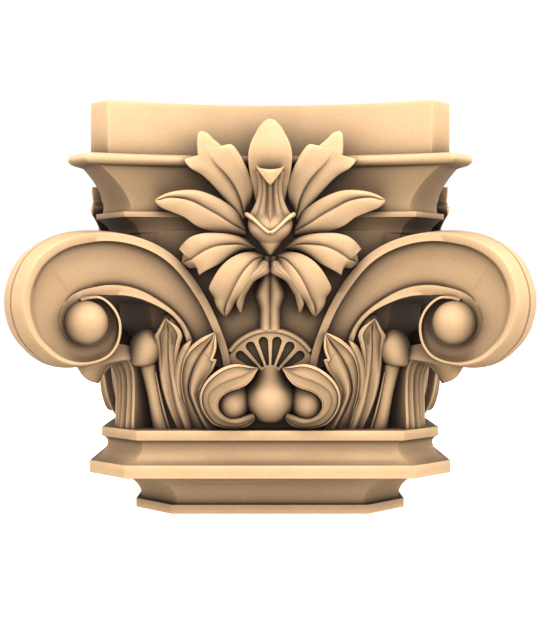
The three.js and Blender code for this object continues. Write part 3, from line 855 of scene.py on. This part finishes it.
def bead(foot, top, half, chamfer, sag, proud, count):
    """Levels of a half-round bead between two heights."""
    levels = []
    for i in range(count + 1):
        a = math.pi * i / count
        up = foot + (top - foot) * (1 - math.cos(a)) / 2
        levels.append((up, half - proud + proud * math.sin(a), chamfer, sag))
    return levels


def stack(name, levels, pieces, bevel):
    """Mesh of a stack of levels, its arrises eased by bevel metres."""
    carrier = in_scene(name, mesh_of(name, skin([outline(*level, pieces) for level in levels])))
    modifier = carrier.modifiers.new("arrises", "BEVEL")
    modifier.width = bevel
    modifier.segments = 2
    modifier.limit_method = "ANGLE"
    modifier.angle_limit = math.radians(ARRIS_ANGLE)
    return worked_out(carrier)


def base_levels(size):
    """Foot slab, cavetto, plinth, scotia and upper slab."""
    c = BASE_CHAMFER
    foot, plinth, upper = size.foot_half / MM, size.plinth_half / MM, size.slab_half / MM
    return [
        (0, foot, c, 0), (FOOT_TOP, foot, c, 0), (FOOT_TOP + 0.2, CAVETTO_HALF[0], c, 0),
        *flare((CAVETTO[0], CAVETTO_HALF[0], c, 0), (CAVETTO[1], CAVETTO_HALF[1], c, 0), 2.1, 10),
        (CAVETTO[1] + 0.1, plinth, c, 0), (PLINTH_TOP, plinth, c, 0),
        *[(up + 0.1, half, c, 0) for up, half in SCOTIA],
        (77, upper, c, 0), (UPPER_SLAB_TOP, upper, c, 0),
    ]


def abacus_levels(size):
    """Neck curve, fillet, cove, bead and the plain block that carries the load."""
    bead_half, block = size.bead_half / MM, size.block_half / MM
    return [
        (NECK_Z - 6, 156, 32.4, 2),
        *flare((NECK_Z, 161, 32.4, 6), (294, 171.9, 32.1, 10), 1.9, 7),
        (294.1, 173.4, 32.1, 10), (299.6, 173.4, 32.1, 10), (299.8, 168.4, 32, 12),
        (302.5, 167.4, 31.6, 12),
        *flare((306, 167, 31.3, 12.4), (343, 184, 21, 25), 1.9, 10),
        *bead(343.1, 354.5, bead_half, 20.4, 25, 7.5, 9),
        (354.7, block, 19.9, 29.4), (HEIGHT, block, 19.9, 29.4),
    ]


# ---- volutes
def arc_out(along):
    """How far out from the axis the scroll's upright arc is, at a distance along the face."""
    return ARC_MIDDLE + ARC_RADIUS - math.sqrt(ARC_RADIUS ** 2 - along ** 2)


def scroll_point(angle, radius, sunk):
    """Place on the scroll's face at an angle and radius round its eye, sunk below the arc."""
    along = EYE_ALONG - radius * math.cos(math.radians(angle))
    up = EYE_UP + radius * math.sin(math.radians(angle))
    return on_face((-along, up, arc_out(along) - sunk))


def scroll_columns(angle, size):
    """(radius, sunk) across the scroll: rim, wall, dished channel, ledge and the drop inside it."""
    edge = value_at(SCROLL, angle)
    rim = value_at(RIM_WIDTH, angle) * size.rim_width / (DRAWN_RIM * MM)
    floor = value_at(FLOOR, angle) * size.channel_depth / (DRAWN_CHANNEL * MM)
    ledge = value_at(LEDGE_SUNK, angle)
    inner = edge - rim
    wall = floor * (0.85 - 0.5 * ramp(angle, 150, 280))
    if angle < FOOT_END:
        last = value_at(LEDGE_FOOT, angle)
    elif angle < TURN_END:
        last = value_at(SCROLL, angle + 360) + 0.5
        ease = ramp(angle, FOOT_END, FOOT_END + 12)
        last = value_at(LEDGE_FOOT, FOOT_END) * (1 - ease) + last * ease
    else:
        last = 12.0
    top = max(min(value_at(LEDGE_TOP, angle), inner - 5), last + 1.4)
    columns = [(edge, 0.5), (edge - 0.5, 0), (inner + 0.4, 0), (inner, 0.4), (inner - 0.7, wall)]
    start, stop = inner - 0.7, top + 0.9
    for f in (0.08, 0.18, 0.3, 0.44, 0.58, 0.72, 0.86, 0.95):
        dish = wall + (floor - wall) * math.sin(ramp(f, 0, CHANNEL_ROUND) * math.pi / 2)
        if angle < INNER_FROM:
            dish -= CHANNEL_SWELL * math.sin(math.pi * f)
        else:
            dish += (ledge - floor) * f * ramp(angle, INNER_FROM, INNER_FROM + 60)
        columns.append((start + (stop - start) * f, dish))
    foot = max(floor, ledge) + (0.6 if angle < 80 else 0)
    columns += [
        (top + 0.9, foot), (top + 0.25, ledge + 0.4), (top - 0.2, ledge), (last + 0.9, ledge + 0.1),
        (last + 0.3, ledge + 0.5), (last, ledge + 1.4), (last, max(24.0, ledge + 8)),
    ]
    return columns


def scroll_body(size):
    """The whole scroll of one corner: both its faces and the grooved band between them."""
    rings = []
    turn = SCROLL_END - SCROLL_START
    count = round(turn / SCROLL_STEP)
    crown, groove = size.band_crown / MM, size.groove_depth / MM
    for k in range(count + 1):
        angle = SCROLL_START + turn * k / count
        front = [scroll_point(angle, r, sunk) for r, sunk in scroll_columns(angle, size)]
        twin = [p[[1, 0, 2]] for p in front]
        a = math.radians(angle)
        outward = np.array([math.cos(a) * math.sqrt(0.5), math.cos(a) * math.sqrt(0.5), math.sin(a)])
        start, stop = twin[0], front[0]
        width = np.linalg.norm(stop - start)
        fade = ramp(angle, *BAND_GROOVES_END)
        lines = ((-2.4, 0), (-1.7, 0), (-0.95, -1), (0, -0.15), (0.95, -1), (1.7, 0), (2.4, 0))
        shares = [(s, 0.0) for s in (0.06, 0.15, 0.27, 0.39)]
        shares += [(0.5 + at / width, cut * groove * fade) for at, cut in lines]
        shares += [(s, 0.0) for s in (0.61, 0.73, 0.85, 0.94)]
        band = [
            start + (stop - start) * s + outward * (crown * (1 - (2 * s - 1) ** 2) + cut)
            for s, cut in shares
        ]
        rings.append([*front, *twin[::-1], *band])
    return skin(rings)


def volute_bodies(size):
    """One corner's scroll and the two balls in its eyes."""
    eye = ball((-EYE_ALONG, EYE_UP, EYE_OUT), size.eye_radius / MM)
    return [scroll_body(size), eye, across_corner(eye)]


# ---- palmette
def palmette_bodies(size):
    """The palmette in the middle of a face: leaves, petal, flower and its stem."""
    cut = dict(relief=size.relief, edge=size.leaf_edge / MM)
    half = [
        leaf(UPPER_LEAF, FOLDED, FADED, **cut),
        *[leaf(spec, FOLDED, **cut) for spec in (LANCE_LEAF, MIDDLE_LEAF, HANGING_LEAF)],
        leaf(SPUR_LEAF, FOLDED, relief=0.5 * size.relief, edge=cut["edge"]),
        # one of the two stalks under the flower, swelling to a knot
        turned([
            (-4.3, 184, 158, 6, 6.5), (-4.3, 197, 160, 6, 7), (-4.4, 206, 162, 6.2, 7.5),
            (-5.6, 212.3, 163, 7.4, 9), (-6.7, 219.4, 164, 8.5, 10), (-5.4, 228, 165, 7.2, 9),
            (-3.9, 235, 166, 5.4, 7.5), (-3.6, 243, 166, 4.9, 7), (-3.4, 256, 166, 4.8, 6),
        ], sides=24),
        # the collar that comes down to a point under the flower
        rod(
            [(-22.6, 295.6, 184), (-19.5, 293.4, 188), (-15, 289.6, 190.6), (-8.2, 282.8, 193.6),
             (-3, 278.4, 195), (0, 277, 195.4)],
            [(2.4, 2.4), (2.4, 2.6), (2, 2.4), (1.9, 2.4), (1.9, 2.6), (1.9, 2.6)],
        ),
    ]
    whole = [
        leaf(PETAL, SOFT, **cut),
        leaf(CALYX, RIBBED, **cut),
        # bulb under the collar, and the cone that ends it
        turned([
            (0, 266.8, 178, 6, 6), (0, 270, 179, 10.6, 9), (0, 274, 180, 15.5, 11.5), (0, 279, 181, 19.4, 13),
            (0, 286, 180.5, 21.4, 12.5), (0, 292, 178, 20.4, 11), (0, 298, 175, 16, 8),
        ], foot=(0, 265.8, 178)),
        turned([
            (0, 257.4, 175.5, 2, 4), (0, 260.5, 176, 4.4, 6), (0, 265, 176.5, 7.8, 8),
            (0, 269, 176.5, 10.4, 9.5), (0, 274, 176, 12.5, 10.5),
        ], foot=(0, 256.4, 175)),
        lip_body(),
    ]
    return [*half, *map(mirrored, half), *whole]


def lip_body():
    """The flower's lip: a triangular tongue that points down."""
    side = [(5, 337.4), (10.5, 338.6), (14.9, 341.2), (11.6, 336), (7.6, 330.4), (3.4, 325), (0.6, 322)]
    twin = [(-x, up) for x, up in side]
    shape = [*twin[2::-1], (0, 337.1), *side, *twin[:2:-1]]
    middle = np.array([0.0, 332.0])
    levels = ((0.75, 184), (0.97, 192), (1.0, 197.2), (0.93, 198.4), (0.6, 199.6), (0.25, 200.2))
    rings = [
        [(*(middle + (np.array(p) - middle) * share), out) for p in shape] for share, out in levels
    ]
    return skin(on_face(rings))


# ---- fan
FAN_UP = 137.0
FAN_BACK = 136.0
ARCH_FROM, ARCH_TURN = 34, 112
ARCH_STEPS = 48
# the arch's cross section: radius and distance out
ARCH = (
    (50.2, FAN_BACK), (50.2, 160.2), (49.4, 162.4), (47.8, 163.4), (46.2, 163.2), (45, 162.2),
    (44.4, 160.6), (44.4, FAN_BACK),
)
PLATE_RADIUS = 46
PLATE_FACE = 160.2
# recesses shaped like drops: the round end's radius and place, where the tail ends, how many, and degrees
# from one to the next
DROP_RADIUS = 4.5
DROP_AT = 36.8
DROP_TAIL = 13
DROP_TAIL_HALF = 1.3
DROPS = 6
DROP_STEP = 21


def arc_points(radius, up, out, angles):
    """Points of an arc about a point on the face's middle line."""
    turns = [math.radians(t) for t in angles]
    return [(radius * math.cos(a), up + radius * math.sin(a), out) for a in turns]


def fan_bodies(material):
    """The fan over the middle ball: its arch, and the plate with drop-shaped recesses."""
    arch = []
    for i in range(ARCH_STEPS + 1):
        a = math.radians(ARCH_FROM + ARCH_TURN * i / ARCH_STEPS)
        arch.append([(r * math.cos(a), FAN_UP + r * math.sin(a), out) for r, out in ARCH])
    plate = [
        arc_points(PLATE_RADIUS - eased, FAN_UP, out, range(10, 171, 5))
        for out, eased in ((FAN_BACK, 0), (PLATE_FACE, 0), (PLATE_FACE + 0.8, 0.4))
    ]
    drop = []
    for out, grow in ((153.0, -0.5), (154.0, 0.0), (160.4, 0.0), (163.0, 1.2)):
        ring = arc_points(DROP_RADIUS + grow, FAN_UP + DROP_AT, out, range(-12, 193, 12))
        half = DROP_TAIL_HALF + grow * 0.5
        drop.append([*ring, (-half, FAN_UP + DROP_TAIL, out), (half, FAN_UP + DROP_TAIL, out)])
    first = -DROP_STEP * (DROPS - 1) / 2
    recesses = turned_copies(
        "fan_recesses", mesh_of("drop", skin(on_face(drop))), DROPS, math.radians(first),
        math.radians(DROP_STEP), (0, 1, 0), (0, 0, FAN_UP * MM), material,
    )
    return [skin(on_face(arch)), united("fan_plate", [skin(on_face(plate))], less=[recesses])]


# ---- leaves round the bell
def bell_bodies(size):
    """The hooked, broad, tall and small leaves, the buds, and the ball in the middle of a face."""
    cut = dict(relief=size.relief, edge=size.leaf_edge / MM)
    half = [
        leaf(TALL_LEAF, TALL_FOOT, DISHED, **cut),
        leaf(SMALL_LEAF, SOFT, **cut),
        leaf(BROAD_LEAF, GROOVED, GROOVED_HEAD, **cut),
        leaf(HOOK_LEAF, HOOKED, step=2.0, **cut),
        # bud at the side of the bell, flat under its cap, on its stalk
        turned([
            (-125.5, 149, 157, 8.2, 8.2), (-124.8, 151, 157, 11.2, 11.2), (-123.6, 157, 157, 14.4, 14),
            (-122.6, 166, 157, 15.9, 15), (-121.9, 174, 157, 14.6, 14), (-121.4, 180, 157, 11.2, 11),
            (-121.1, 184.5, 157, 6.4, 6.4),
        ], tip=(-121, 186.5, 157)),
        turned([
            (-107.5, 84, 147, 8.4, 9), (-111.5, 104, 149, 7.4, 8), (-115.2, 125, 151, 7.2, 7.5),
            (-118.6, 140, 152, 7.6, 8), (-120.4, 150, 153, 8.6, 8),
        ]),
        rod(
            [(-99.5, 86, 152), (-104.4, 104, 154.5), (-109.2, 125, 156), (-112.6, 143, 157)],
            [(1.4, 2), (1.2, 2), (1.1, 2), (0.8, 1.6)],
        ),
        # small ball inside the hook
        turned([
            (-38, 95, 156, 10.6, 9), (-37.6, 101, 157, 14, 12), (-37, 110, 158, 16, 14.5),
            (-37, 119, 158, 16, 14.5), (-37.4, 127, 157, 13.6, 12), (-37.8, 134, 155, 9, 8),
        ]),
        leaf(HOOD, SOFT, **cut),
    ]
    whole = [
        # the ball in the middle, on the neck that rises from it to the fan
        turned([
            (0, 92.6, 154, 6, 6), (0, 95, 154, 12, 12), (0, 99.4, 154, 17, 17), (0, 105.2, 154, 21.4, 21.4),
            (0, 112, 154, 24.2, 24.2), (0, 118.8, 154, 24.8, 24.8), (0, 125.6, 154, 23.4, 23.4),
            (0, 131.6, 153.5, 20.2, 20.2), (0, 138, 153, 15.8, 16), (0, 144, 152, 12, 13),
            (0, 150, 150, 9.8, 11),
        ], sides=40, foot=(0, 92, 154)),
    ]
    corner = [leaf(CORNER_TRUNK, FLUTED, place=on_corner, **cut), claw_body()]
    return [*half, *map(mirrored, half), *whole, *corner]


CLAW_SIDES = 32
CLAW_STEPS = 5
# below 1 its cross section is squarer than an oval
CLAW_FULLNESS = 0.9


def claw_body():
    """The claw-shaped leaf end that curls down from under a scroll."""
    stations = eased_line(CORNER_CLAW, [CLAW_STEPS] * (len(CORNER_CLAW) - 1))
    rings = []
    for outer_w, outer_up, half, edge_w, edge_up, inner_w, inner_up in stations:
        ring = []
        for i in range(CLAW_SIDES):
            a = 2 * math.pi * i / CLAW_SIDES
            side, front = math.sin(a), math.cos(a)
            far = np.array((outer_w, outer_up) if front > 0 else (inner_w, inner_up))
            edge = np.array((edge_w, edge_up))
            at = edge + (far - edge) * abs(front) ** CLAW_FULLNESS
            ring.append((half * math.copysign(abs(side) ** CLAW_FULLNESS, side), at[1], at[0]))
        rings.append(ring)
    return skin(on_corner(rings), tip=on_corner(CLAW_TIP))


# ---- settings
def length(name, description, default, low=0.0):
    """A length in metres that the sidebar shows."""
    return bpy.props.FloatProperty(
        name=name, description=description, default=default, min=low, precision=4, unit="LENGTH",
    )


def colour(name, description, default):
    """An sRGB hex colour."""
    return bpy.props.StringProperty(name=name, description=description, default=default)


class CapitalMouldings(bpy.types.PropertyGroup):
    """Sizes of the plain mouldings."""

    foot_half: length("Foot", "Half width of the bottom slab", 138.7 * MM)
    plinth_half: length("Plinth", "Half width of the plinth slab", 180.3 * MM)
    slab_half: length("Upper slab", "Half width of the slab under the leaves", 169.8 * MM)
    bead_half: length("Bead", "Half width of the abacus bead at the corners", 195.6 * MM)
    block_half: length("Block", "Half width of the top block at the corners", 176.4 * MM)
    arris: length("Arris", "How far the edges of the mouldings are eased", 0.5 * MM)


class CapitalVolutes(bpy.types.PropertyGroup):
    """Sizes of the corner scrolls."""

    rim_width: length("Rim", "Width of the scroll's rim where it is widest", 8.5 * MM)
    channel_depth: length("Channel", "Depth of the channel inside the rim", 11.5 * MM)
    band_crown: length("Crown", "How far the band between two scroll faces bulges", 3.5 * MM)
    groove_depth: length("Grooves", "Depth of the two grooves along the band", 0.9 * MM)
    eye_radius: length("Eye", "Radius of the ball in the scroll's eye", 20.6 * MM)


class CapitalLeaves(bpy.types.PropertyGroup):
    """Carving of the leaves."""

    relief: bpy.props.FloatProperty(
        name="Relief", description="Depth of the folds, lips and ribs against the drawn one",
        default=1.0, min=0.0, max=2.0, subtype="FACTOR",
    )
    leaf_edge: length("Leaf edge", "Thickness of a leaf at its edge", 2.4 * MM)


class CapitalStone(bpy.types.PropertyGroup):
    """Look of the stone."""

    grain: length("Grain", "Size that the stone's grain is drawn at", 1.2 * MM, 0.0001)
    # painted shade: how far and how fast the stone's colour is darkened in its recesses
    painted_shade_reach: length("Shade reach", "How far a recess reaches before its painted shade thins out", 110 * MM)
    painted_shade_spread: bpy.props.FloatProperty(
        name="Shade spread", description="How soon the painted shade builds up where the stone is less open",
        default=2.6, min=0.1, subtype="FACTOR",
    )
    # painted highlight: how wide the edges are made lighter in colour
    painted_highlight_width: length("Edge highlights", "How wide the painted highlight on the edges is", 6 * MM)
    light_bed: colour("Light beds", "Lighter colour of the stone", "#AE8E6A")
    dark_bed: colour("Dark beds", "Darker colour of the stone", "#A98965")
    # painted shade: the dark colour painted into the recesses and folds
    painted_shade_colour: colour("Painted shade", "Colour of the painted shade in the deep recesses", "#23150A")


class CapitalStage(bpy.types.PropertyGroup):
    """Camera, floor and light."""

    floor: colour("Floor", "Colour of the floor", "#FBF8F4")
    key: bpy.props.FloatProperty(
        name="Key light", description="Power of the low front light, which the others follow",
        default=40.0, min=0.0, subtype="POWER",
    )
    distance: length("Camera distance", "From the capital's axis to the camera", 1218.7 * MM)
    eye_level: length("Camera height", "Above the floor", 203 * MM)


# ---- operators
class CAPITAL_OT_mouldings(bpy.types.Operator):
    """Base mouldings, bell and abacus"""

    bl_idname = "capital.mouldings"
    bl_label = "Mouldings"

    def execute(self, context):
        scene = context.scene
        size = scene.capital_mouldings
        bell = [(UPPER_SLAB_TOP - 4, 143.2, 40, 0), (NECK_Z + 2, 160, 32.4, 2)]
        parts = [
            stack("base", base_levels(size), 1, size.arris),
            stack("abacus", abacus_levels(size), 24, size.arris),
        ]
        mesh = united("mouldings", [skin([outline(*level, 24) for level in bell]), *parts])
        finished_piece("mouldings", mesh, stone_material(scene.capital_stone), sharp=24)
        return {"FINISHED"}


class CAPITAL_OT_volutes(bpy.types.Operator):
    """Four corner volutes with balls in their eyes"""

    bl_idname = "capital.volutes"
    bl_label = "Volutes"

    def execute(self, context):
        scene = context.scene
        stone = stone_material(scene.capital_stone)
        on_four_sides("volutes", volute_bodies(scene.capital_volutes), stone)
        return {"FINISHED"}


class CAPITAL_OT_palmettes(bpy.types.Operator):
    """Palmette with its flower on each face"""

    bl_idname = "capital.palmettes"
    bl_label = "Palmettes"

    def execute(self, context):
        scene = context.scene
        stone = stone_material(scene.capital_stone)
        on_four_sides("palmettes", palmette_bodies(scene.capital_leaves), stone)
        return {"FINISHED"}


class CAPITAL_OT_bell_leaves(bpy.types.Operator):
    """Leaves, buds, balls and fans round the bell"""

    bl_idname = "capital.bell_leaves"
    bl_label = "Bell leaves"

    def execute(self, context):
        scene = context.scene
        stone = stone_material(scene.capital_stone)
        bodies = [*bell_bodies(scene.capital_leaves), *fan_bodies(stone)]
        on_four_sides("bell_leaves", bodies, stone)
        return {"FINISHED"}


LENS = 62.5
SENSOR = 36.0
CAMERA_ALONG = -1.6 * MM
FLOOR_RADIUS = 9
FLOOR_SIDES = 64
LIGHT_SIZE = 1.4
LIT_PLACE = (0, 0, 0.2)
# name, place in metres and share of the key light's power
LIGHTS = (
    ("key", (0.1, -2.6, 0.65), 1), ("side", (2.43, -0.65, 0.87), 0.4), ("top", (0, -0.89, 2.64), 2.6),
)


class CAPITAL_OT_stage(bpy.types.Operator):
    """Camera, pale floor and soft light"""

    bl_idname = "capital.stage"
    bl_label = "Stage"

    def execute(self, context):
        scene = context.scene
        look = scene.capital_stage
        camera = bpy.data.cameras.new("camera")
        camera.sensor_fit = "VERTICAL"
        camera.sensor_width = camera.sensor_height = SENSOR
        camera.lens = LENS
        scene.camera = in_scene("camera", camera)
        scene.camera.location = (CAMERA_ALONG, -look.distance, look.eye_level)
        scene.camera.rotation_euler = (math.pi / 2, 0, 0)

        turns = np.linspace(0, 2 * math.pi, FLOOR_SIDES + 1)[:-1]
        ring = [(FLOOR_RADIUS * math.cos(a), FLOOR_RADIUS * math.sin(a), 0) for a in turns]
        mesh = bpy.data.meshes.new("floor")
        mesh.from_pydata(ring, [], [list(range(FLOOR_SIDES))])
        mesh.materials.append(floor_material(look))
        floor = in_scene("floor", mesh)
        # the floor doesn't tint the stone, and isn't counted as a wall where the painted shade gathers
        floor.visible_diffuse = False
        floor.visible_shadow = False

        for name, place, share in LIGHTS:
            soft_light(name, place, look.key * share)
        scene.world = studio_world()
        scene.view_settings.view_transform = "Standard"
        return {"FINISHED"}


def soft_light(name, place, power):
    """A large round light turned towards the middle of the capital."""
    data = bpy.data.lights.new(name, "AREA")
    data.shape = "DISK"
    data.size = LIGHT_SIZE
    data.energy = power
    lamp = in_scene(name, data)
    lamp.location = place
    toward = np.array(LIT_PLACE) - np.array(place)
    yaw = math.atan2(toward[1], toward[0]) - math.pi / 2
    pitch = math.atan2(toward[2], math.hypot(toward[0], toward[1]))
    lamp.rotation_euler = (math.pi / 2 + pitch, 0, yaw)


def floor_material(look):
    """Matt white studio paper: even and almost without shade."""
    material = bpy.data.materials.new("studio_paper")
    material.use_nodes = True
    shader = material.node_tree.nodes["Principled BSDF"]
    shader.inputs["Base Color"].default_value = linear(look.floor)
    shader.inputs["Roughness"].default_value = 0.9
    shader.inputs["Emission Color"].default_value = linear(look.floor)
    shader.inputs["Emission Strength"].default_value = 0.6
    return material


def studio_world():
    """White all round to the camera; to the object, soft light that is brightest round the horizon."""
    world = bpy.data.worlds.new("studio")
    world.use_nodes = True
    tree = world.node_tree
    tree.nodes.clear()
    seen = node(tree, "ShaderNodeLightPath").outputs["Is Camera Ray"]
    direction = node(tree, "ShaderNodeTexCoord").outputs["Generated"]
    height = node(tree, "ShaderNodeSeparateXYZ", {"Vector": direction}).outputs["Z"]
    low = node(
        tree, "ShaderNodeMapRange",
        {"Value": height, "From Min": -0.5, "From Max": -0.2, "To Min": 0.25, "To Max": 2.75},
        interpolation_type="SMOOTHSTEP",
    )
    high = node(
        tree, "ShaderNodeMapRange",
        {"Value": height, "From Min": 0.25, "From Max": 0.55, "To Min": 1.0, "To Max": 0.3},
        interpolation_type="SMOOTHSTEP",
    )
    sky = node(tree, "ShaderNodeMath", {0: low, 1: high}, operation="MULTIPLY")
    strength = node(tree, "ShaderNodeMix", {"Factor": seen, "A": sky, "B": 1.0})
    back = node(tree, "ShaderNodeBackground", {"Strength": strength, "Color": (1, 1, 1, 1)})
    node(tree, "ShaderNodeOutputWorld", {"Surface": back})
    return world


class CAPITAL_PT_panel(bpy.types.Panel):
    """Lists the pieces and their sizes"""

    bl_idname = "CAPITAL_PT_panel"
    bl_label = "Carved capital"
    bl_space_type = "VIEW_3D"
    bl_region_type = "UI"
    bl_category = "Capital"

    def draw(self, context):
        for settings, kind, operators in GROUPS:
            box = self.layout.box()
            for operator in operators:
                box.operator(operator.bl_idname)
            for prop in kind.__annotations__:
                box.prop(getattr(context.scene, settings), prop)


GROUPS = (
    ("capital_mouldings", CapitalMouldings, (CAPITAL_OT_mouldings,)),
    ("capital_volutes", CapitalVolutes, (CAPITAL_OT_volutes,)),
    ("capital_leaves", CapitalLeaves, (CAPITAL_OT_palmettes, CAPITAL_OT_bell_leaves)),
    ("capital_stone", CapitalStone, ()),
    ("capital_stage", CapitalStage, (CAPITAL_OT_stage,)),
)
CLASSES = (
    *[kind for _, kind, _ in GROUPS], *[op for _, _, ops in GROUPS for op in ops], CAPITAL_PT_panel,
)


def register():
    """Registers the classes and puts the settings on the scene."""
    for cls in CLASSES:
        bpy.utils.register_class(cls)
    for settings, kind, _ in GROUPS:
        setattr(bpy.types.Scene, settings, bpy.props.PointerProperty(type=kind))


def unregister():
    """Takes the settings and classes away again."""
    for settings, _, _ in GROUPS:
        delattr(bpy.types.Scene, settings)
    for cls in reversed(CLASSES):
        bpy.utils.unregister_class(cls)


def main():
    """Makes every piece."""
    register()
    bpy.ops.capital.stage()
    bpy.ops.capital.mouldings()
    bpy.ops.capital.volutes()
    bpy.ops.capital.palmettes()
    bpy.ops.capital.bell_leaves()


if __name__ == "__main__":
    main()
